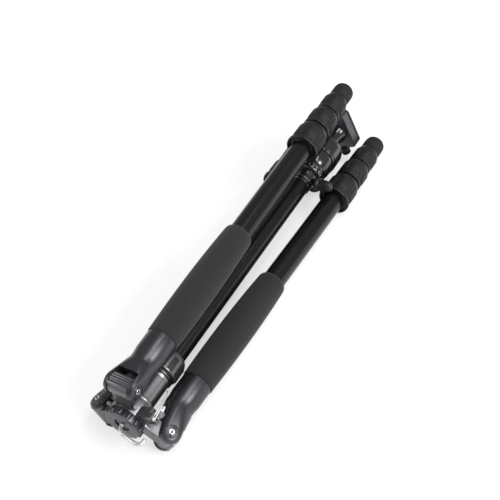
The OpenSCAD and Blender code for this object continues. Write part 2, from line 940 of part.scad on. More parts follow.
leg_frame(1) lock_1();  // leg_b_lock_1
leg_frame(1) tube_2();  // leg_b_tube_2
leg_frame(1) lock_2();  // leg_b_lock_2
leg_frame(1) tube_3();  // leg_b_tube_3
leg_frame(1) lock_3();  // leg_b_lock_3
leg_frame(1) tube_4();  // leg_b_tube_4
leg_frame(1) leg_foot();  // leg_b_foot
leg_frame(-1) leg_casting();  // leg_c_casting
leg_frame(-1) leg_bolt();  // leg_c_bolt
leg_frame(-1) leg_tab();  // leg_c_tab
leg_frame(-1) leg_grip();  // leg_c_grip
leg_frame(-1) tube_1();  // leg_c_tube_1
leg_frame(-1) lock_1();  // leg_c_lock_1
leg_frame(-1) tube_2();  // leg_c_tube_2
leg_frame(-1) lock_2();  // leg_c_lock_2
leg_frame(-1) tube_3();  // leg_c_tube_3
leg_frame(-1) lock_3();  // leg_c_lock_3
leg_frame(-1) tube_4();  // leg_c_tube_4
leg_frame(-1) leg_foot();  // leg_c_foot
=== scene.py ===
import json
import math

import bmesh
import bpy
from mathutils import Matrix, Vector


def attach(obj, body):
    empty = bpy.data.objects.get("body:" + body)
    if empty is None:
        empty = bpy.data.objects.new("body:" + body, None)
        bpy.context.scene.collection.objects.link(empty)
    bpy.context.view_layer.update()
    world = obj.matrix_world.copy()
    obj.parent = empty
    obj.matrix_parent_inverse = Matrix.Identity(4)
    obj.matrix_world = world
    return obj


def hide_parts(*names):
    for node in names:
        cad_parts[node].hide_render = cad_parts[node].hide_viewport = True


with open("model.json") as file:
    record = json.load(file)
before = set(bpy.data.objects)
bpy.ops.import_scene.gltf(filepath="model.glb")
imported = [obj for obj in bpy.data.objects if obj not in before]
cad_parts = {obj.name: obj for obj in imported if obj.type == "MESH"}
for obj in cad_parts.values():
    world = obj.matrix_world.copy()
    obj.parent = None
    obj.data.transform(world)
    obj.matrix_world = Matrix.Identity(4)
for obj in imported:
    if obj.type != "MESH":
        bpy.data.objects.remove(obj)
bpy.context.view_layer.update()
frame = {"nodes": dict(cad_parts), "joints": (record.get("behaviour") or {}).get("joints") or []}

bl_info = {
    "name": "Folded travel tripod",
    "version": (1, 0, 0),
    "blender": (4, 5, 0),
    "location": "View3D > Sidebar > Tripod",
    "description": "Dresses the folded tripod's solids with grips, locks, castings and a ball head",
    "category": "Add Mesh",
}

MM = 0.001
JOINTS = {joint["name"]: joint for joint in frame["joints"]}
PIN_X = JOINTS["leg_a_fold"]["pos_m"][0]
AXIS_Z = JOINTS["head_pan"]["pos_m"][2]
LEGS = ("a", "b", "c")

# A leg's tubes lie this far inside the line through its pin
TUBE_DROP = 7.5 * MM

# A piece that is fixed on a tube keeps this share of the gap of one that turns on it
SEATED = 0.25

# The housing's throat, which the friction collar turns on, as a share of the housing's radius
THROAT_SHARE = 0.93

# Turns of the hub's bright pins round the column, in degrees from the first leg
HUB_PIN_TURNS = (30, 100, 283)

# Each knob turns on its joint's axis: start, bore_floor and reach are distances from the column along it
KNOBS = {
    "pan_lock_knob": dict(
        body="pan_knob", joint="pan_knob_turn", ribs=14, taper=0.72, radius=7.98 * MM, bore=4.22 * MM,
        start=19.3 * MM, bore_floor=29.55 * MM, reach=39.0 * MM),
    "ball_lock_knob": dict(
        body="main_knob", joint="main_knob_turn", ribs=18, taper=1.0, radius=9.03 * MM, bore=6.1 * MM,
        start=21.8 * MM, bore_floor=28.05 * MM, reach=37.0 * MM),
    "clamp_lock_knob": dict(
        body="clamp_knob", joint="clamp_knob_turn", ribs=12, taper=1.0, radius=5.78 * MM, bore=1.0 * MM,
        start=22.84 * MM, bore_floor=23.5 * MM, reach=32.0 * MM),
}

# Soft boxes: place and size in metres, power in watts, each aimed at the middle of the floor
LAMPS = {
    "key_softbox": dict(place=(-0.1, -1.8, 1.4), size=(1.5, 0.7), power=46),
    "top_softbox": dict(place=(0.4, -0.9, 2.2), size=(1.6, 0.6), power=26),
    "back_softbox": dict(place=(-1.2, 1.6, 1.6), size=(1.4, 1.0), power=24),
}

# The floor in metres, the share of its white that only the camera sees, and the sky's light on the tripod
FLOOR_SIZE = 14
FLOOR_GLOW = 0.6
SKY_FILL = 0.4

# The photograph's camera: its place and its aim from the leg pins' centre, its roll in radians
CAMERA = dict(
    eye=(-0.28641, -0.36413, 0.63405), aim=(0.21802, -0.00532, 0.01087), roll=-0.151,
    sensor=36, lens=59.005, clip_start=0.01)


# Placing

def leg_place(leg):
    """The frame of a leg: x down the leg, z away from the column, origin at its pin."""
    along = Vector(JOINTS[f"leg_{leg}_section_2_slide"]["axis"])
    across = -Vector(JOINTS[f"leg_{leg}_fold"]["axis"])
    out = along.cross(across)
    place = Matrix((along, across, out)).transposed().to_4x4()
    place.translation = Vector(JOINTS[f"leg_{leg}_fold"]["pos_m"])
    return place


def on_column(station):
    """A turned piece's own z axis laid along the column from a station."""
    quarter = Matrix.Rotation(math.radians(90), 4, "Y")
    return Matrix.Translation((PIN_X + station, 0, AXIS_Z)) @ quarter


def facing(turn, station):
    """A piece's own z axis turned away from the column, turn degrees from the first leg."""
    spin = Matrix.Rotation(math.radians(turn), 4, "X")
    return Matrix.Translation((PIN_X + station, 0, AXIS_Z)) @ spin


# Shader maths

class Wire:
    """A socket of a material's nodes, with Python's operators."""

    def __init__(self, tree, socket):
        self.tree = tree
        self.socket = socket

    def joined(self, operation, *values, clamp=False):
        settings = {"operation": operation, "use_clamp": clamp}
        return Nodes(self.tree).add("ShaderNodeMath", settings, dict(enumerate(values)))

    def __add__(self, other):
        return self.joined("ADD", self, other)

    def __radd__(self, other):
        return self.joined("ADD", other, self)

    def __sub__(self, other):
        return self.joined("SUBTRACT", self, other)

    def __rsub__(self, other):
        return self.joined("SUBTRACT", other, self)

    def __mul__(self, other):
        return self.joined("MULTIPLY", self, other)

    def __rmul__(self, other):
        return self.joined("MULTIPLY", other, self)

    def step_over(self, edge, soft):
        return self.joined("MULTIPLY", self - edge, 1.0 / soft, clamp=True)


class Nodes:
    """Adds nodes to a material's tree."""

    def __init__(self, tree):
        self.tree = tree

    def add(self, kind, settings=None, values=None, out=0):
        node = self.tree.nodes.new(kind)
        for name, value in (settings or {}).items():
            if name == "stops":
                ramp = node.color_ramp
                while len(ramp.elements) < len(value):
                    ramp.elements.new(0.5)
                for element, (place, colour) in zip(ramp.elements, value):
                    element.position = place
                    element.color = colour
            else:
                setattr(node, name, value)
        for name, value in (values or {}).items():
            socket = node.inputs[name]
            if isinstance(value, Wire):
                self.tree.links.new(value.socket, socket)
            else:
                socket.default_value = value
        return Wire(self.tree, node.outputs[out])

    def place(self):
        return self.add("ShaderNodeTexCoord", out=3)

    def noise(self, scale, detail=3.0, rough=0.55, stretch=None):
        where = self.place()
        if stretch:
            where = self.add("ShaderNodeMapping", None, {"Vector": where, "Scale": stretch})
        return self.add("ShaderNodeTexNoise", None,
                        {"Vector": where, "Scale": scale, "Detail": detail, "Roughness": rough})

    def cells(self, scale):
        return self.add("ShaderNodeTexVoronoi", {"feature": "F1"},
                        {"Vector": self.place(), "Scale": scale})

    def mixed(self, factor, first, second):
        return self.add("ShaderNodeMix", {"data_type": "RGBA"},
                        {0: factor, 6: first, 7: second}, out=2)

    def bumped(self, height, strength, distance):
        return self.add("ShaderNodeBump", None,
                        {"Height": height, "Strength": strength, "Distance": distance})


def rgb(colour, gain=1.0):
    return (colour[0] * gain, colour[1] * gain, colour[2] * gain, 1.0)


def finish_shader(name, fixed):
    """A new material and its nodes, with the values that are the same all over."""
    material = bpy.data.materials.new(name)
    material.use_nodes = True
    shader = material.node_tree.nodes["Principled BSDF"]
    for socket, value in fixed.items():
        shader.inputs[socket].default_value = value
    material.diffuse_color = shader.inputs["Base Color"].default_value
    return material, Nodes(material.node_tree), shader


def link(nodes, wire, shader, socket):
    nodes.tree.links.new(wire.socket, shader.inputs[socket])


def speckled_paint(name, colour, rough, speck, grain, metal=0.0, coat=0.0, depth=0.00004, glint=0.5):
    """Stove enamel or moulded plastic with a fine even grain and slow patches of sheen."""
    material, nodes, shader = finish_shader(name, {
        "Metallic": metal, "Coat Weight": coat, "Coat Roughness": 0.08, "Specular IOR Level": glint})
    fine = nodes.noise(grain, 2.0)
    slow = nodes.noise(38.0, 3.0)
    link(nodes, nodes.mixed(fine, rgb(colour, 1 - speck), rgb(colour, 1 + speck)), shader, "Base Color")
    link(nodes, slow * 0.16 + fine * 0.06 + (rough - 0.11), shader, "Roughness")
    link(nodes, nodes.bumped(fine, 0.35, depth), shader, "Normal")
    return material


def foam_finish(name, colour):
    """Closed-cell foam: small pits with painted shade in them, a little worn and dusty in patches."""
    material, nodes, shader = finish_shader(
        name, {"Sheen Weight": 0.1, "Sheen Roughness": 0.5, "Specular IOR Level": 0.25})
    pits = nodes.cells(1150.0)
    grain = nodes.noise(2600.0, 2.0)
    worn = nodes.noise(22.0, 4.0)
    base = nodes.mixed(worn, rgb(colour, 0.82), rgb(colour, 1.22))
    # The pits' floors are painted darker than the foam: painted shade in the pits.
    deep = pits.step_over(0.12, 0.5)
    link(nodes, nodes.mixed(deep, rgb(colour, 0.6), base), shader, "Base Color")
    link(nodes, worn * 0.08 + 0.86, shader, "Roughness")
    link(nodes, nodes.bumped(pits * 0.7 + grain * 0.5, 0.55, 0.00022), shader, "Normal")
    return material


def brushed_metal(name, colour, rough, stretch):
    """Turned or drawn metal with fine lines one way."""
    material, nodes, shader = finish_shader(name, {"Metallic": 1.0})
    lines = nodes.noise(900.0, 3.0, 0.6, stretch)
    slow = nodes.noise(30.0, 2.0)
    link(nodes, nodes.mixed(lines, rgb(colour, 0.9), rgb(colour, 1.08)), shader, "Base Color")
    link(nodes, lines * 0.14 + slow * 0.08 + (rough - 0.11), shader, "Roughness")
    link(nodes, nodes.bumped(lines, 0.2, 0.00002), shader, "Normal")
    return material


def gloss_tube(name, colour, rough):
    """Black anodised tube: deep gloss, faint drawing lines along it."""
    material, nodes, shader = finish_shader(
        name, {"Specular IOR Level": 0.26, "Coat Weight": 0.08, "Coat Roughness": 0.12})
    lines = nodes.noise(700.0, 2.0, 0.5, (0.04, 1.0, 1.0))
    slow = nodes.noise(26.0, 3.0)
    link(nodes, nodes.mixed(slow, rgb(colour, 0.85), rgb(colour, 1.25)), shader, "Base Color")
    link(nodes, slow * 0.1 + lines * 0.05 + (rough - 0.07), shader, "Roughness")
    link(nodes, nodes.bumped(lines, 0.12, 0.00002), shader, "Normal")
    return material


def make_finishes(colours):
    """Every finish of the tripod by name."""
    paint = speckled_paint
    return {
        "foam": foam_finish("foam_grip", colours.foam),
        "casting": paint(
            "casting_enamel", colours.casting, rough=0.34, speck=0.1, grain=1500.0, metal=0.85),
        "hub": paint("hub_enamel", colours.hub, rough=0.32, speck=0.08, grain=1500.0, metal=0.8),
        "tube": gloss_tube("anodised_tube", colours.tube, rough=0.24),
        "lock": paint("lock_shell", colours.lock, rough=0.42, speck=0.1, grain=1700.0, glint=0.3),
        "pad": paint(
            "lock_rubber", colours.pad, rough=0.6, speck=0.45, grain=800.0, depth=0.0003, glint=0.3),
        "rubber": paint(
            "foot_rubber", colours.pad, rough=0.72, speck=0.22, grain=1200.0, depth=0.0001, glint=0.3),
        "neck": brushed_metal("neck_satin", colours.neck, rough=0.34, stretch=(1.0, 0.08, 0.08)),
        "wire": paint(
            "wire_nickel", colours.wire, rough=0.32, speck=0.04, grain=900.0, metal=0.6, depth=0.00001),
        "bolt": paint(
            "bolt_gloss", colours.bolt, rough=0.2, speck=0.06, grain=900.0, metal=0.9, depth=0.00001),
        "block": paint(
            "block_satin", colours.neck, rough=0.4, speck=0.06, grain=1200.0, metal=0.5, depth=0.00001),
        "steel": brushed_metal("bright_steel", colours.steel, rough=0.2, stretch=(1.0, 0.3, 0.3)),
        "head": paint(
            "head_gloss", colours.head, rough=0.2, speck=0.1, grain=900.0, coat=0.6, depth=0.00001),
        "knob": paint("knob_moulding", colours.knob, rough=0.36, speck=0.15, grain=1600.0, glint=0.35),
        "clamp": brushed_metal("clamp_satin", colours.clamp, rough=0.4, stretch=(0.2, 1.0, 1.0)),
        "plate": paint("plate_anodised", colours.plate, rough=0.46, speck=0.1, grain=2000.0, metal=0.5),
        "mark": paint("tick_paint", colours.mark, rough=0.5, speck=0.05, grain=1200.0),
        "level": paint(
            "level_fluid", colours.level, rough=0.2, speck=0.1, grain=600.0, coat=1.0, depth=0.00001),
    }


# Modelling

def only(piece=None):
    """Selects one piece and nothing else."""
    if bpy.context.object and bpy.context.object.mode != "OBJECT":
        bpy.ops.object.mode_set(mode="OBJECT")
    bpy.ops.object.select_all(action="DESELECT")
    if piece is not None:
        piece.select_set(True)
        bpy.context.view_layer.objects.active = piece


def edit(piece):
    only(piece)
    bpy.ops.object.mode_set(mode="EDIT")
    bpy.ops.mesh.select_mode(type="FACE")
    bpy.ops.mesh.select_all(action="DESELECT")


def done():
    bpy.ops.object.mode_set(mode="OBJECT")


def pick(piece, test):
    """Selects the faces whose centre passes a test of its radius, angle and height."""
    mesh = bmesh.from_edit_mesh(piece.data)
    count = 0
    for face in mesh.faces:
        middle = face.calc_center_median()
        angle = math.degrees(math.atan2(middle.y, middle.x)) % 360
        chosen = test(math.hypot(middle.x, middle.y), angle, middle.z, face.normal)
        face.select_set(chosen)
        count += chosen
    mesh.select_flush(True)
    bmesh.update_edit_mesh(piece.data)
    if not count:
        raise RuntimeError(f"{piece.name}: nothing to shape")


def turned(name, profile, steps=64):
    """A closed turned piece, drawn ring by ring from pairs of radius and height."""
    tiny = 0.01 * MM
    only()
    radius, height = max(profile[0][0], tiny), profile[0][1]
    bpy.ops.mesh.primitive_circle_add(
        vertices=steps, radius=radius, fill_type="NOTHING", location=(0, 0, 0))
    piece = bpy.context.object
    piece.name = piece.data.name = name
    bpy.ops.object.mode_set(mode="EDIT")
    bpy.ops.mesh.select_mode(type="VERT")
    bpy.ops.mesh.select_all(action="SELECT")
    bpy.ops.transform.translate(value=(0, 0, height))
    for wide, high in profile[1:]:
        wide = max(wide, tiny)
        bpy.ops.mesh.extrude_region_move(TRANSFORM_OT_translate={"value": (0, 0, high - height)})
        share = wide / radius
        bpy.ops.transform.resize(value=(share, share, 1), center_override=(0, 0, high))
        radius, height = wide, high
    bpy.ops.mesh.select_all(action="SELECT")
    bpy.ops.mesh.remove_doubles(threshold=tiny * 2.2)
    bpy.ops.mesh.select_all(action="SELECT")
    bpy.ops.mesh.normals_make_consistent(inside=False)
    done()
    return piece


def tube_shape(inner, outer):
    """A closed profile: the outer pairs from low to high, then the bore back down."""
    return outer + inner + [outer[0]]


def raised(piece, low, high, spans, height, rim=0.0, slot=None):
    """Raises the outer faces between two heights and within spans of angle."""
    outer_share, upright = 0.72, 0.7
    edit(piece)
    floor = max(math.hypot(v.co.x, v.co.y) for v in piece.data.vertices) * outer_share

    def chosen(radius, angle, level, normal):
        flat = math.hypot(normal.x, normal.y)
        within = any((angle - start) % 360 <= width for start, width in spans)
        return within and low < level < high and radius > floor and flat > upright

    pick(piece, chosen)
    if slot is not None:
        piece.active_material_index = slot
        bpy.ops.object.material_slot_assign()
    if rim:
        bpy.ops.mesh.inset(thickness=rim, depth=0)
    bpy.ops.mesh.extrude_region_shrink_fatten(
        TRANSFORM_OT_shrink_fatten={"value": height, "use_even_offset": True})
    done()


def coloured(piece, slot, test):
    """Gives some faces of a piece another of its materials."""
    edit(piece)
    pick(piece, test)
    piece.active_material_index = slot
    bpy.ops.object.material_slot_assign()
    done()


def coloured_near(piece, slot, middle, reach):
    """Gives the faces within reach of a point another of the piece's materials."""
    edit(piece)
    mesh = bmesh.from_edit_mesh(piece.data)
    for face in mesh.faces:
        face.select_set(all((vertex.co - middle).length < reach for vertex in face.verts))
    bmesh.update_edit_mesh(piece.data)
    piece.active_material_index = slot
    bpy.ops.object.material_slot_assign()
    done()


def softened(piece, width, segments=2, angle=32.0, smooth=38.0):
    """Rounds a piece's sharp edges."""
    only(piece)
    bevel = piece.modifiers.new("edge", "BEVEL")
    bevel.width = width
    bevel.segments = segments
    bevel.limit_method = "ANGLE"
    bevel.angle_limit = math.radians(angle)
    bevel.use_clamp_overlap = True
    bpy.ops.object.modifier_apply(modifier=bevel.name)
    bpy.ops.object.shade_smooth_by_angle(angle=math.radians(smooth))
    return piece


def placed(piece, place):
    """Moves a finished piece to its place and leaves its object at the origin."""
    only(piece)
    piece.matrix_world = place
    bpy.ops.object.transform_apply(location=True, rotation=True, scale=True)
    return piece


def copied(piece, name):
    """Another of the same piece, with its own mesh."""
    other = bpy.data.objects.new(name, piece.data.copy())
    other.data.name = name
    bpy.context.scene.collection.objects.link(other)
    return other


def painted(piece, *materials):
    """Gives a piece its materials, slot by slot."""
    piece.data.materials.clear()
    for material in materials:
        piece.data.materials.append(material)
    return piece


def fixed_to(piece, body, slot, *nodes):
    """Rides a piece on its body, in place of its solids."""
    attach(piece, body)
    if nodes:
        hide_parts(*nodes)
    return piece


def refined(node, name, width, segments=3, angle=32.0):
    """A copy of a solid's mesh, merged, with its sharp edges rounded."""
    merge_within, flat_deg = 0.002 * MM, 0.8
    only()
    piece = bpy.data.objects.new(name, frame["nodes"][node].data.copy())
    piece.data.name = name
    bpy.context.scene.collection.objects.link(piece)
    edit(piece)
    bpy.ops.mesh.select_all(action="SELECT")
    bpy.ops.mesh.remove_doubles(threshold=merge_within)
    bpy.ops.mesh.customdata_custom_splitnormals_clear()
    bpy.ops.mesh.select_all(action="SELECT")
    bpy.ops.mesh.dissolve_limited(angle_limit=math.radians(flat_deg))
    done()
    return softened(piece, width, segments, angle)


def per_leg(make, name, body, slot, node):
    """Models a piece on the first leg and copies it to the others."""
    for leg in LEGS:
        piece = copied(make, f"leg_{leg}_{name}")
        placed(piece, leg_place(leg))
        fixed_to(piece, body.format(leg=leg), slot, f"leg_{leg}_{node}")
    bpy.data.objects.remove(make)


def along_leg(piece, station):
    """Lays a turned piece along the tube, in the leg's own frame."""
    quarter = Matrix.Rotation(math.radians(90), 4, "Y")
    return placed(piece, Matrix.Translation((station, 0, -TUBE_DROP)) @ quarter)


# Sizes and colours

def length(name, words, default):
    return bpy.props.FloatProperty(
        name=name, description=words, default=default, unit="LENGTH", precision=5)


def colour(name, words, default):
    return bpy.props.FloatVectorProperty(
        name=name, description=words, default=default, size=3, subtype="COLOR", min=0, max=1)


class TripodSizes(bpy.types.PropertyGroup):
    """Sizes of the dressed pieces, measured from the leg pins and from each piece's own axis."""

    grip_start: length("Grip start", "Where the foam grip begins", 0.0611)
    grip_end: length("Grip end", "Where the foam grip ends", 0.210)
    grip_radius: length("Grip radius", "Largest radius of the foam grip", 0.0177)
    tube_radius: length("Tube radius", "Radius of the largest leg tube", 0.0125)
    tube_step: length("Tube step", "Step in radius from tube to tube", 0.0015)
    lock_1_start: length("Lock 1 start", "Low end of the first lock", 0.355)
    lock_2_start: length("Lock 2 start", "Low end of the second lock", 0.3915)
    lock_3_start: length("Lock 3 start", "Low end of the third lock", 0.4228)
    foot_start: length("Foot start", "Where the rubber foot begins", 0.4528)
    foot_end: length("Foot end", "Tip of the rubber foot", 0.475)
    lock_gap: length("Lock gap", "Gap from lock to lock", 0.0004)
    lock_1_radius: length("Lock 1 radius", "Radius of the first lock over its pads", 0.0184)
    lock_2_radius: length("Lock 2 radius", "Radius of the second lock over its pads", 0.0169)
    lock_3_radius: length("Lock 3 radius", "Radius of the third lock over its pads", 0.0151)
    lock_rim: length("Lock rim", "Radius of the first lock's rim", 0.0191)
    lock_pad: length("Pad height", "Height of the rubber pads on locks and collar", 0.0008)
    lock_recess: length("Lock recess", "Depth of the hollow low face of a lock", 0.0024)
    foot_radius: length("Foot radius", "Radius of the rubber foot", 0.0125)
    bolt_radius: length("Bolt radius", "Radius of the hinge bolt's heads", 0.0063)
    bolt_half: length("Bolt half length", "From the middle of the hinge bolt to its end", 0.01694)
    bail_wire: length("Bail wire", "Radius of each of the bail's wires", 0.0006)
    bail_length: length("Bail length", "From the bail's pin to its bend", 0.0298)
    bail_ear: length("Bail ear", "Reach of the hub's light ears round the bail's pin", 0.0065)
    bail_tip: length("Bail tip", "Length of the bail's bent tip", 0.005)
    bail_lean: bpy.props.FloatProperty(
        name="Bail lean", description="Lean of the bail in degrees", default=10)
    bail_tip_lean: bpy.props.FloatProperty(
        name="Bail tip lean", description="Lean of the bail's tip in degrees", default=45)
    hub_pin_radius: length("Hub pin radius", "Radius of the hub's bright pins", 0.0019)
    hub_pin_length: length("Hub pin length", "How far the hub's bright pins stand out", 0.006)
    hub_pin_reach: length("Hub pin reach", "Where the hub's bright pins begin, from its axis", 0.0185)
    hub_pin_drop: length("Hub pin drop", "How far the hub's pins lie below the leg pins", 0.005)
    neck_start: length("Neck start", "Low end of the light neck", 0.008)
    neck_end: length("Neck end", "High end of the light neck, inside the collar", 0.06325)
    neck_radius: length("Neck radius", "Radius of the light neck", 0.0142)
    collar_start: length("Collar start", "Low end of the column collar", 0.046)
    collar_end: length("Collar end", "High end of the column collar", 0.069)
    collar_radius: length("Collar radius", "Radius of the column collar under its ribs", 0.017)
    ring_start: length("Ring start", "Low end of the ring under the head", 0.341)
    ring_radius: length("Ring radius", "Radius of the ring under the head", 0.0138)
    pan_start: length("Pan start", "Low end of the panning base", 0.358)
    pan_end: length("Pan end", "High end of the panning base", 0.371)
    pan_radius: length("Pan radius", "Radius of the panning base", 0.019)
    housing_radius: length("Housing radius", "Radius of the ball housing", 0.0215)
    friction_start: length("Friction start", "Low end of the friction collar", 0.391)
    friction_end: length("Friction end", "High end of the friction collar", 0.417)
    friction_radius: length("Friction radius", "Radius of the friction collar", 0.0227)
    ball_at: length("Ball place", "Middle of the ball", 0.414)
    ball_radius: length("Ball radius", "Radius of the ball", 0.015)
    stem_radius: length("Stem radius", "Radius of the ball's stem", 0.011)
    clamp_start: length("Clamp start", "Underside of the clamp", 0.448)
    fit: length("Fit", "Gap between pieces that turn on each other", 0.00008)
    edge_round: length("Edge round", "Rounding of the castings' edges", 0.0009)


class TripodColours(bpy.types.PropertyGroup):
    """Colours of the finishes, in linear values."""

    foam: colour("Foam", "Grip foam", (0.017, 0.017, 0.0175))
    casting: colour("Casting", "Leg castings", (0.058, 0.057, 0.064))
    hub: colour("Hub", "Spider and lugs", (0.115, 0.117, 0.122))
    tube: colour("Tube", "Leg and column tubes", (0.004, 0.004, 0.0045))
    lock: colour("Lock", "Twist lock shells", (0.006, 0.006, 0.0068))
    pad: colour("Pad", "Rubber of pads and feet", (0.0085, 0.0085, 0.0092))
    neck: colour("Neck", "Light neck, hub ears and pins", (0.23, 0.232, 0.24))
    steel: colour("Steel", "Bright screws, pins and tabs", (0.66, 0.67, 0.69))
    wire: colour("Wire", "Hook and bail", (0.55, 0.55, 0.56))
    bolt: colour("Bolt", "Hinge bolts' heads and the locks' inner faces", (0.07, 0.07, 0.074))
    head: colour("Head", "Ball head", (0.006, 0.006, 0.007))
    knob: colour("Knob", "Knobs", (0.012, 0.012, 0.013))
    clamp: colour("Clamp", "Camera clamp", (0.16, 0.165, 0.175))
    plate: colour("Plate", "Camera plate", (0.02, 0.02, 0.0215))
    mark: colour("Marks", "Panning ticks", (0.35, 0.35, 0.35))
    level: colour("Level", "Bubble level fluid", (0.35, 0.5, 0.12))
    floor: colour("Floor", "Floor and backdrop", (0.93, 0.93, 0.93))


FINISH = {}


def sizes():
    return bpy.context.scene.tripod_sizes


def finish_of(name):
    if not FINISH:
        FINISH.update(make_finishes(bpy.context.scene.tripod_colours))
    return FINISH[name]


# Pieces

class TRIPOD_OT_grips(bpy.types.Operator):
    """Foam grips that swell in the middle and end in rounded shoulders"""

    bl_idname = "tripod.grips"
    bl_label = "Foam grips"

    def execute(self, context):
        s = sizes()
        long = s.grip_end - s.grip_start
        r = s.grip_radius
        bore = s.tube_radius + s.fit * SEATED
        middle_share = 0.46
        low_fall_share, high_fall_share = 0.075, 0.085
        rings, end_share = 18, 0.03
        outline = []
        for i in range(rings + 1):
            share = end_share + (1 - 2 * end_share) * i / rings
            fall = low_fall_share if share < middle_share else high_fall_share
            outline.append((r * (1 - fall * ((share - middle_share) / middle_share) ** 2), long * share))
        low_r, high_r = outline[0][0], outline[-1][0]
        outline = [(low_r * 0.95, 0), (low_r * 0.985, long * 0.005), (low_r, long * 0.014)] + outline + [
            (high_r * 0.985, long * 0.982), (high_r * 0.95, long * 0.992), (high_r * 0.89, long)]
        piece = turned("grip", tube_shape([(bore, long), (bore, 0)], outline), 72)
        softened(piece, r * 0.02, 2, 40, 50)
        along_leg(piece, s.grip_start)
        for leg in LEGS:
            grip = copied(piece, f"leg_{leg}_foam_grip")
            placed(painted(grip, finish_of("foam")), leg_place(leg))
            fixed_to(grip, f"leg_{leg}", "foam", f"leg_{leg}_grip")
        bpy.data.objects.remove(piece)
        return {"FINISHED"}


class TRIPOD_OT_locks(bpy.types.Operator):
    """Three sizes of twist lock: hollow low face, rubber pads round a barrel, tapered top"""

    bl_idname = "tripod.locks"
    bl_label = "Twist locks"

    def lock(self, number, start, end, radius, rim):
        s = sizes()
        long = end - start - s.lock_gap
        body = radius - s.lock_pad
        low_bore = s.tube_radius - s.tube_step * (number - 1) + s.fit
        high_bore = low_bore - s.tube_step
        inner = low_bore + (rim - low_bore) * 0.62
        shim = low_bore + s.tube_step * 0.35
        step = long * 0.8
        piece = turned("lock", tube_shape(
            [(high_bore, long), (high_bore, step), (low_bore, step), (low_bore, s.lock_recess * 0.5),
             (shim, s.lock_recess * 0.5), (shim, s.lock_recess), (inner, s.lock_recess), (inner, 0)],
            [(rim * 0.965, 0), (rim * 0.99, long * 0.02), (rim, long * 0.045), (rim, long * 0.1),
             (rim * 0.985, long * 0.12), (body * 0.95, long * 0.13), (body * 0.95, long * 0.165),
             (body * 0.99, long * 0.18), (body, long * 0.22), (body * 1.004, long * 0.47),
             (body, long * 0.74), (body * 0.985, long * 0.82), (body * 0.94, long * 0.9),
             (body * 0.88, long * 0.965), (body * 0.8, long)]), 90)
        painted(piece, finish_of("lock"), finish_of("pad"), finish_of("bolt"))
        coloured(piece, 2, lambda radius, angle, level, normal:
                 radius < shim * 1.001 and level < s.lock_recess * 0.99)
        pads, pad_deg = 6, 40
        step_deg = 360 // pads
        first_deg = (step_deg - pad_deg) // 2
        raised(piece, long * 0.22, long * 0.74, [(i * step_deg + first_deg, pad_deg) for i in range(pads)],
               s.lock_pad, s.lock_pad * 0.45, 1)
        softened(piece, s.lock_pad * 0.35, 2, 34, 45)
        along_leg(piece, start)
        per_leg(piece, f"twist_lock_{number}", f"leg_{{leg}}_lock_{number}", "lock_black",
                f"lock_{number}")

    def execute(self, context):
        s = sizes()
        self.lock(1, s.lock_1_start, s.lock_2_start, s.lock_1_radius, s.lock_rim)
        self.lock(2, s.lock_2_start, s.lock_3_start, s.lock_2_radius, s.lock_2_radius * 0.975)
        self.lock(3, s.lock_3_start, s.foot_start, s.lock_3_radius, s.lock_3_radius * 0.975)
        return {"FINISHED"}


class TRIPOD_OT_feet(bpy.types.Operator):
    """Blunt rubber feet with a seating groove"""

    bl_idname = "tripod.feet"
    bl_label = "Rubber feet"

    def execute(self, context):
        s = sizes()
        long = s.foot_end - s.foot_start
        r = s.foot_radius
        bore = s.tube_radius - s.tube_step * 3 + s.fit * SEATED
        piece = turned("foot", [
            (0, long * 0.41), (bore, long * 0.41), (bore, 0), (r * 0.9, 0), (r * 0.965, long * 0.025),
            (r * 0.965, long * 0.09), (r * 0.93, long * 0.11), (r * 0.93, long * 0.14),
            (r * 0.985, long * 0.17), (r, long * 0.3), (r, long * 0.66),
            (r * 0.985, long * 0.76), (r * 0.94, long * 0.86),
            (r * 0.85, long * 0.935), (r * 0.7, long * 0.985), (r * 0.55, long), (0, long)], 64)
        painted(piece, finish_of("rubber"))
        softened(piece, r * 0.02, 2, 40, 60)
        along_leg(piece, s.foot_start)
        per_leg(piece, "rubber_foot", "leg_{leg}_section_4", "rubber", "foot")
        return {"FINISHED"}


class TRIPOD_OT_castings(bpy.types.Operator):
    """Leg castings, hub, bottom cap and hook with rounded edges"""

    bl_idname = "tripod.castings"
    bl_label = "Castings"

    def execute(self, context):
        round_by = sizes().edge_round
        for leg in LEGS:
            casting = refined(f"leg_{leg}_casting", f"leg_{leg}_shoulder", round_by)
            painted(casting, finish_of("casting"))
            fixed_to(casting, f"leg_{leg}", "casting_dark", f"leg_{leg}_casting")
        rows = (
            ("spider", "hub_spider", round_by * 0.6, "hub", "hub", "hub_grey"),
            ("bottom_cap", "lobed_cap", round_by * 0.7, "casting", "column", "casting_dark"),
            ("hook", "weight_hook", round_by * 0.2, "wire", "hook", "steel"),
        )
        for node, name, width, finish, body, slot in rows:
            piece = painted(refined(node, name, width), finish_of(finish), finish_of("block"))
            if node == "spider":
                coloured_near(piece, 1, Vector(JOINTS["bail_swing"]["pos_m"]), sizes().bail_ear)
            fixed_to(piece, body, slot, node)
        return {"FINISHED"}


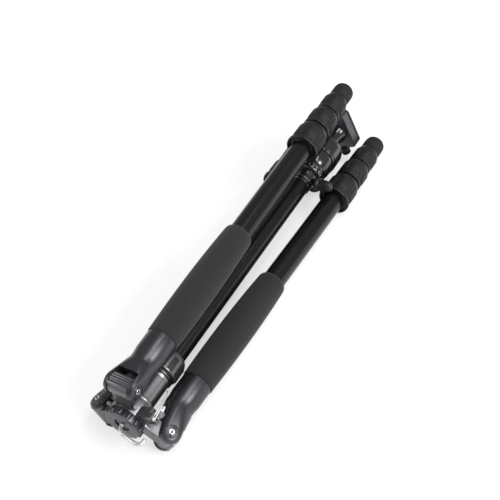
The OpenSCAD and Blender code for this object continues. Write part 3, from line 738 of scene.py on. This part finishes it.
class TRIPOD_OT_bail(bpy.types.Operator):
    """Twin wires that meet at a bent tip, on a barrel between the hub's ears, and the hub's pins"""

    bl_idname = "tripod.bail"
    bl_label = "Wire bail"

    def rod(self, radius, low, high):
        """A round wire between two points, with rounded ends."""
        way = Vector(high) - Vector(low)
        long = way.length
        piece = turned("rod", [
            (0, -radius * 0.8), (radius * 0.6, -radius * 0.55), (radius, 0), (radius * 0.96, long),
            (radius * 0.6, long + radius * 0.55), (0, long + radius * 0.8)], 16)
        only(piece)
        bpy.ops.object.shade_smooth_by_angle(angle=math.radians(50))
        place = way.to_track_quat("Z", "Y").to_matrix().to_4x4()
        place.translation = Vector(low)
        return placed(piece, place)

    def execute(self, context):
        s = sizes()
        swing = JOINTS["bail_swing"]
        wire, reach, spread = s.bail_wire, s.bail_length, s.bail_wire * 2.2
        lean = math.radians(s.bail_lean)
        end = Vector((reach * math.cos(lean), 0, -reach * math.sin(lean)))
        tip_lean = math.radians(s.bail_tip_lean)
        tip = end + s.bail_tip * Vector((math.cos(tip_lean), 0, -math.sin(tip_lean)))
        barrel = wire * 2.4
        parts = [
            self.rod(barrel, (0, -spread, 0), (0, spread, 0)),
            self.rod(wire, (0, -spread, 0), end + Vector((0, -wire * 0.7, 0))),
            self.rod(wire, (0, spread, 0), end + Vector((0, wire * 0.7, 0))),
            self.rod(wire * 1.4, end, tip),
        ]
        only(parts[0])
        for part in parts:
            part.select_set(True)
        bpy.ops.object.join()
        piece = bpy.context.object
        piece.name = piece.data.name = "wire_bail"
        across = -Vector(swing["axis"])
        along = Vector((1, 0, 0))
        place = Matrix((along, across, along.cross(across))).transposed().to_4x4()
        place.translation = Vector(swing["pos_m"])
        placed(painted(piece, finish_of("wire")), place)
        fixed_to(piece, "bail", "steel", "bail")

        r = s.hub_pin_radius
        long = s.hub_pin_length
        for number, turn in enumerate(HUB_PIN_TURNS):
            pin = turned(f"hub_pin_{number}", [
                (0, 0), (r, 0), (r, long * 0.82), (r * 0.9, long * 0.95), (r * 0.7, long),
                (r * 0.35, long), (r * 0.3, long * 0.85), (0, long * 0.85)], 24)
            painted(pin, finish_of("block"))
            softened(pin, r * 0.08, 2, 34, 45)
            placed(pin, facing(turn, -s.hub_pin_drop) @ Matrix.Translation((0, 0, s.hub_pin_reach)))
            fixed_to(pin, "hub", "neck_light")
        return {"FINISHED"}


class TRIPOD_OT_bolts(bpy.types.Operator):
    """Hinge bolts with ringed dark heads round a bright inner ring"""

    bl_idname = "tripod.bolts"
    bl_label = "Hinge bolts"

    def execute(self, context):
        s = sizes()
        r = s.bolt_radius
        half = s.bolt_half
        thick = r * 0.26
        side = []
        for share, sunk in ((0.5, 1.0), (0.97, 1.0), (1.0, 0.8), (1.0, 0.3), (0.95, 0.1), (0.82, 0.1),
                            (0.8, 0.4), (0.7, 0.4), (0.68, 0.0), (0.5, 0.0), (0.47, 0.3), (0.42, 0.3)):
            side.append((r * share, half - thick * sunk))
        floor = half - thick * 0.9
        side += [(r * 0.4, half), (r * 0.24, half), (r * 0.22, floor), (0, floor)]
        piece = turned("bolt", [(radius, -height) for radius, height in reversed(side)] + side, 60)
        painted(piece, finish_of("bolt"), finish_of("steel"))
        coloured(piece, 1, lambda radius, angle, level, normal:
                 r * 0.23 < radius < r * 0.41 and abs(level) > half - thick * 0.5)
        softened(piece, r * 0.02, 2, 34, 40)
        placed(piece, Matrix.Rotation(math.radians(90), 4, "X"))
        per_leg(piece, "hinge_bolt", "leg_{leg}", "steel", "bolt")
        return {"FINISHED"}


class TRIPOD_OT_collar(bpy.types.Operator):
    """Light neck, and the collar with rubber pads that locks the column"""

    bl_idname = "tripod.collar"
    bl_label = "Neck and collar"

    def execute(self, context):
        s = sizes()
        long = s.collar_end - s.collar_start
        body = s.collar_radius
        bore = s.neck_radius + s.fit
        narrow = s.tube_radius + s.fit
        step = long * 0.77
        piece = turned("column_lock_collar", tube_shape(
            [(narrow, long), (narrow, step), (bore, step), (bore, 0)],
            [(body * 0.94, 0), (body * 0.985, long * 0.02), (body, long * 0.05), (body, long * 0.1),
             (body, long * 0.74), (body * 0.99, long * 0.8), (body * 0.93, long * 0.9),
             (body * 0.86, long * 0.97), (body * 0.82, long)]), 100)
        painted(piece, finish_of("hub"), finish_of("pad"))
        pads, pad_deg = 10, 22
        raised(piece, long * 0.1, long * 0.74, [(i * 360 // pads, pad_deg) for i in range(pads)],
               s.lock_pad, s.lock_pad * 0.4, 1)
        softened(piece, s.lock_pad * 0.3, 2, 34, 45)
        placed(piece, on_column(s.collar_start))
        fixed_to(piece, "collar", "lock_black", "column_collar")

        r = s.neck_radius
        top = s.neck_end - s.neck_start
        neck = turned("light_neck", tube_shape(
            [(narrow, top), (narrow, 0)],
            [(r * 1.08, 0), (r * 1.1, top * 0.01), (r * 1.1, top * 0.06), (r * 1.06, top * 0.07),
             (r, top * 0.08), (r, top * 0.54), (r * 0.985, top * 0.545), (r * 0.985, top * 0.56),
             (r, top * 0.565), (r, top)]), 96)
        painted(neck, finish_of("neck"))
        softened(neck, r * 0.01, 2, 34, 40)
        placed(neck, on_column(s.neck_start))
        fixed_to(neck, "hub", "neck_light", "neck")
        return {"FINISHED"}


class TRIPOD_OT_head(bpy.types.Operator):
    """Ring under the head, panning base with ticks, ball housing, friction collar and ball"""

    bl_idname = "tripod.head"
    bl_label = "Ball head"

    def pan_dial(self):
        s = sizes()
        r = s.pan_radius
        long = s.pan_end - s.pan_start
        tick_low, tick_high = long * 0.3, long * 0.46
        tick_step_deg, tick_wide_deg = 15, 2.5
        dial = turned("pan_dial", [
            (0, long * 0.002), (r * 0.72, long * 0.002), (r * 0.76, long * 0.02),
            (r * 0.76, long * 0.07), (r * 0.78, long * 0.08), (r * 0.93, long * 0.12),
            (r * 0.98, long * 0.18), (r, long * 0.26), (r, tick_low), (r, tick_high), (r, long * 0.52),
            (r * 0.97, long * 0.56), (r * 0.97, long * 0.6), (r, long * 0.64), (r, long * 0.95),
            (r * 0.985, long * 0.995), (0, long * 0.997)], 144)
        painted(dial, finish_of("head"), finish_of("mark"))
        coloured(dial, 1, lambda radius, angle, level, normal:
                 tick_low < level < tick_high and angle % tick_step_deg < tick_wide_deg)
        softened(dial, r * 0.012, 2, 34, 40)
        placed(dial, on_column(s.pan_start))
        fixed_to(dial, "column", "head_black", "pan_base")

    def ring(self):
        s = sizes()
        r = s.ring_radius
        long = s.pan_start - s.ring_start
        # A band that stands a little proud of the ring, later painted light as a highlight line
        highlight_line_low, highlight_line_high = long * 0.31, long * 0.37
        piece = turned("head_ring", tube_shape(
            [(s.tube_radius + s.fit * SEATED, long), (s.tube_radius + s.fit * SEATED, 0)],
            [(r * 0.96, 0), (r, long * 0.03), (r, long * 0.26), (r * 0.975, long * 0.28),
             (r * 0.975, highlight_line_low - long * 0.01), (r * 1.02, highlight_line_low), (r * 1.02, highlight_line_high),
             (r * 0.985, highlight_line_high + long * 0.01), (r * 1.0, long * 0.6), (r * 1.04, long * 0.8),
             (r * 1.12, long)]), 96)
        # The raised band gets the light neck finish: a painted highlight line round the dark ring.
        painted(piece, finish_of("head"), finish_of("neck"))
        coloured(piece, 1, lambda radius, angle, level, normal:
                 highlight_line_low < level < highlight_line_high and radius > r)
        softened(piece, r * 0.01, 2, 34, 40)
        placed(piece, on_column(s.ring_start))
        fixed_to(piece, "column", "head_black", "base_ring")

    def housing(self):
        s = sizes()
        r = s.housing_radius
        start = s.pan_end + s.lock_gap * 0.75
        shell = s.friction_start - start
        long = s.friction_end - start
        throat = r * THROAT_SHARE
        ball_play = s.fit * 3
        cup = s.ball_radius + ball_play
        centre = s.ball_at - start
        rim = long - centre
        hollow = [(math.sqrt(cup ** 2 - rim ** 2), long)]
        hollow += [(cup * math.cos(math.radians(a)), centre - cup * math.sin(math.radians(a)))
                   for a in range(0, 91, 10)]
        piece = turned("ball_housing", [
            (0, 0), (s.pan_radius * 0.97, 0), (s.pan_radius, shell * 0.03), (r * 0.93, shell * 0.16),
            (r * 0.975, shell * 0.4), (r, shell * 0.75), (r, shell * 0.93), (r * 0.985, shell * 0.965),
            (throat, shell * 0.97), (throat, long)] + hollow, 96)
        painted(piece, finish_of("head"))
        softened(piece, r * 0.014, 3, 30, 42)
        placed(piece, on_column(start))
        fixed_to(piece, "head", "head_black", "head_housing")

    def friction_ring(self):
        s = sizes()
        r = s.friction_radius
        long = s.friction_end - s.friction_start
        bore = s.housing_radius * THROAT_SHARE + s.fit
        body = r * 0.985
        piece = turned("friction_ring", tube_shape(
            [(bore, long), (bore, 0)],
            [(body * 0.97, 0), (body, long * 0.02), (body, long * 0.1), (body * 0.975, long * 0.12),
             (body * 0.975, long * 0.15), (body, long * 0.17), (body, long * 0.78),
             (body * 0.985, long * 0.82), (body * 0.985, long * 0.9),
             (body * 0.96, long * 0.97), (body * 0.93, long)]), 144)
        painted(piece, finish_of("head"))
        ribs = 72
        rib_deg = 180 / ribs
        raised(piece, long * 0.17, long * 0.78, [(i * rib_deg * 2, rib_deg) for i in range(ribs)], r - body)
        softened(piece, s.lock_pad * 0.15, 1, 34, 40)
        placed(piece, on_column(s.friction_start))
        fixed_to(piece, "friction", "clamp_grey", "friction_collar")

    def ball(self):
        s = sizes()
        r = s.ball_radius
        reach = s.clamp_start - s.ball_at
        stem = s.stem_radius
        foot = r * 0.85
        meet = math.degrees(math.asin(stem * 0.97 / r))
        arc_steps = 18
        sphere = [(r * math.sin(math.radians(a)), -r * math.cos(math.radians(a)))
                  for a in ((180 - meet) * i / arc_steps for i in range(arc_steps + 1))]
        piece = turned("ball_stem", sphere + [
            (stem * 0.93, r * 0.85), (stem * 0.92, reach * 0.5), (stem * 0.94, reach * 0.66),
            (stem * 0.99, reach * 0.78), (foot * 0.95, reach * 0.87), (foot, reach * 0.91),
            (foot, reach * 0.98), (foot * 0.98, reach * 0.997), (0, reach * 0.997)], 96)
        painted(piece, finish_of("head"))
        softened(piece, r * 0.012, 2, 40, 45)
        placed(piece, on_column(s.ball_at))
        fixed_to(piece, "ball", "head_black", "ball")

    def execute(self, context):
        self.ring()
        self.pan_dial()
        self.housing()
        self.friction_ring()
        self.ball()
        return {"FINISHED"}


class TRIPOD_OT_knobs(bpy.types.Operator):
    """Ribbed knobs of the head and the clamp"""

    bl_idname = "tripod.knobs"
    bl_label = "Knobs"

    def knob(self, name, body, joint, ribs, taper, radius, bore, start, bore_floor, reach):
        r = radius
        long = reach - start
        deep = bore_floor - start
        outline = []
        for share, level in ((0.88, 0), (0.97, 0.03), (0.97, 0.16), (0.86, 0.2), (0.86, 0.25),
                             (0.93, 0.3), (0.93, 0.84), (0.89, 0.93), (0.8, 0.985)):
            outline.append((r * share * (1 - (1 - taper) * level), long * level))
        end = outline[-1][0]
        outline += [(end * 0.9, long), (end * 0.55, long), (end * 0.5, long * 0.97),
                    (end * 0.24, long * 0.97), (end * 0.2, long), (0, long)]
        piece = turned(name, [(0, deep), (bore, deep), (bore, 0)] + outline, ribs * 4)
        painted(piece, finish_of("knob"), finish_of("pad"), finish_of("steel"))
        raised(piece, long * 0.3, long * 0.84, [(i * 360 / ribs, 180 / ribs) for i in range(ribs)],
               r * 0.06, 0, 1)
        coloured(piece, 2, lambda radius, angle, level, normal:
                 radius < end * 0.19 and level > long * 0.99)
        softened(piece, r * 0.03, 2, 34, 40)
        axis = Vector(JOINTS[joint]["axis"])
        place = axis.to_track_quat("Z", "X").to_matrix().to_4x4()
        place.translation = Vector((JOINTS[joint]["pos_m"][0], 0, AXIS_Z)) + axis * start
        placed(piece, place)
        fixed_to(piece, body, "knob_black", body)

    def execute(self, context):
        for name, values in KNOBS.items():
            self.knob(name, **values)
        return {"FINISHED"}


class TRIPOD_OT_clamp(bpy.types.Operator):
    """Bed and loose jaw of the camera clamp, camera plate and its pads"""

    bl_idname = "tripod.clamp"
    bl_label = "Clamp and plate"

    def execute(self, context):
        round_by = sizes().edge_round
        rows = (
            ("clamp_body", "clamp_bed", 0.4, "clamp", "ball", "clamp_grey"),
            ("clamp_jaw", "clamp_loose_jaw", 0.45, "clamp", "jaw", "clamp_grey"),
            ("plate", "camera_plate", 0.45, "plate", "plate", "casting_dark"),
            ("plate_pad", "camera_plate_pads", 0.2, "rubber", "plate", "rubber"),
        )
        for node, name, share, finish, body, slot in rows:
            piece = painted(refined(node, name, round_by * share, 2), finish_of(finish))
            fixed_to(piece, body, slot, node)
        return {"FINISHED"}


class TRIPOD_OT_solids(bpy.types.Operator):
    """Finishes for the solids that are shown as they are"""

    bl_idname = "tripod.solids"
    bl_label = "Plain solids"

    def execute(self, context):
        shown = {
            "steel": ["bail_pin", "hook_spring", "plate_screw"],
            "tube": ["column"], "lock": ["neck_rings"], "level": ["bubble_level"],
        }
        for leg in LEGS:
            shown["steel"] += [f"leg_{leg}_tab"]
            shown["tube"] += [f"leg_{leg}_tube_{i}" for i in range(1, 5)]
        for finish, nodes in shown.items():
            for node in nodes:
                painted(frame["nodes"][node], finish_of(finish))
        return {"FINISHED"}


class TRIPOD_OT_stage(bpy.types.Operator):
    """Pale floor, soft studio light and the camera"""

    bl_idname = "tripod.stage"
    bl_label = "Stage"

    def lamp(self, name, place, size, power):
        only()
        bpy.ops.object.light_add(type="AREA", location=place)
        lamp = bpy.context.object
        lamp.name = name
        lamp.data.shape = "RECTANGLE"
        lamp.data.size, lamp.data.size_y = size
        lamp.data.energy = power
        lamp.rotation_euler = (-Vector(place)).to_track_quat("-Z", "Y").to_euler()

    def execute(self, context):
        only()
        bpy.ops.mesh.primitive_plane_add(size=FLOOR_SIZE, location=(0, 0, 0))
        floor = bpy.context.object
        floor.name = "studio_floor"
        material, nodes, shader = finish_shader("studio_paper", {"Roughness": 0.9})
        tint = bpy.context.scene.tripod_colours.floor
        paper = nodes.mixed(nodes.noise(3.0), rgb(tint, 0.995), rgb(tint, 1.005))
        link(nodes, paper, shader, "Base Color")
        ray = nodes.add("ShaderNodeLightPath")
        glow = nodes.add("ShaderNodeEmission", None, {"Color": (1, 1, 1, 1), "Strength": 1.0})
        body = Wire(material.node_tree, shader.outputs[0])
        white = nodes.add("ShaderNodeMixShader", None, {0: ray * FLOOR_GLOW, 1: body, 2: glow})
        output = material.node_tree.nodes["Material Output"]
        material.node_tree.links.new(white.socket, output.inputs["Surface"])
        painted(floor, material)

        world = bpy.context.scene.world or bpy.data.worlds.new("studio")
        bpy.context.scene.world = world
        world.use_nodes = True
        sky = world.node_tree.nodes["Background"]
        sky.inputs["Color"].default_value = (1, 1, 1, 1)
        seen = Nodes(world.node_tree).add("ShaderNodeLightPath")
        world.node_tree.links.new((seen * (1 - SKY_FILL) + SKY_FILL).socket, sky.inputs["Strength"])
        for name, values in LAMPS.items():
            self.lamp(name, **values)

        pins = Vector((PIN_X, 0, AXIS_Z))
        eye = pins + Vector(CAMERA["eye"])
        ahead = (pins + Vector(CAMERA["aim"]) - eye).normalized()
        right = ahead.cross(Vector((0, 0, 1))).normalized()
        up = right.cross(ahead)
        roll = CAMERA["roll"]
        across = right * math.cos(roll) + up * math.sin(roll)
        rise = up * math.cos(roll) - right * math.sin(roll)
        only()
        bpy.ops.object.camera_add(location=eye)
        camera = bpy.context.object
        camera.name = "photo_camera"
        camera.rotation_euler = Matrix((across, rise, -ahead)).transposed().to_euler()
        camera.data.sensor_width = CAMERA["sensor"]
        camera.data.lens = CAMERA["lens"]
        camera.data.clip_start = CAMERA["clip_start"]
        bpy.context.scene.camera = camera
        bpy.context.scene.view_settings.view_transform = "Standard"
        return {"FINISHED"}


STEPS = (
    TRIPOD_OT_stage, TRIPOD_OT_solids, TRIPOD_OT_grips, TRIPOD_OT_locks, TRIPOD_OT_feet,
    TRIPOD_OT_castings, TRIPOD_OT_bail, TRIPOD_OT_bolts, TRIPOD_OT_collar, TRIPOD_OT_head,
    TRIPOD_OT_knobs, TRIPOD_OT_clamp)


class TRIPOD_PT_panel(bpy.types.Panel):
    """Lists the tripod's pieces"""

    bl_label = "Tripod"
    bl_idname = "TRIPOD_PT_panel"
    bl_space_type = "VIEW_3D"
    bl_region_type = "UI"
    bl_category = "Tripod"

    def draw(self, context):
        for step in STEPS:
            self.layout.operator(step.bl_idname)
        for group in (context.scene.tripod_sizes, context.scene.tripod_colours):
            for name in group.__annotations__:
                self.layout.prop(group, name)


def register():
    for kind in (TripodSizes, TripodColours, *STEPS, TRIPOD_PT_panel):
        bpy.utils.register_class(kind)
    bpy.types.Scene.tripod_sizes = bpy.props.PointerProperty(type=TripodSizes)
    bpy.types.Scene.tripod_colours = bpy.props.PointerProperty(type=TripodColours)


def unregister():
    del bpy.types.Scene.tripod_sizes
    del bpy.types.Scene.tripod_colours
    for kind in reversed((TripodSizes, TripodColours, *STEPS, TRIPOD_PT_panel)):
        bpy.utils.unregister_class(kind)


def main():
    register()
    for step in STEPS:
        group, name = step.bl_idname.split(".")
        getattr(getattr(bpy.ops, group), name)()
    only()


if __name__ == "__main__":
    main()
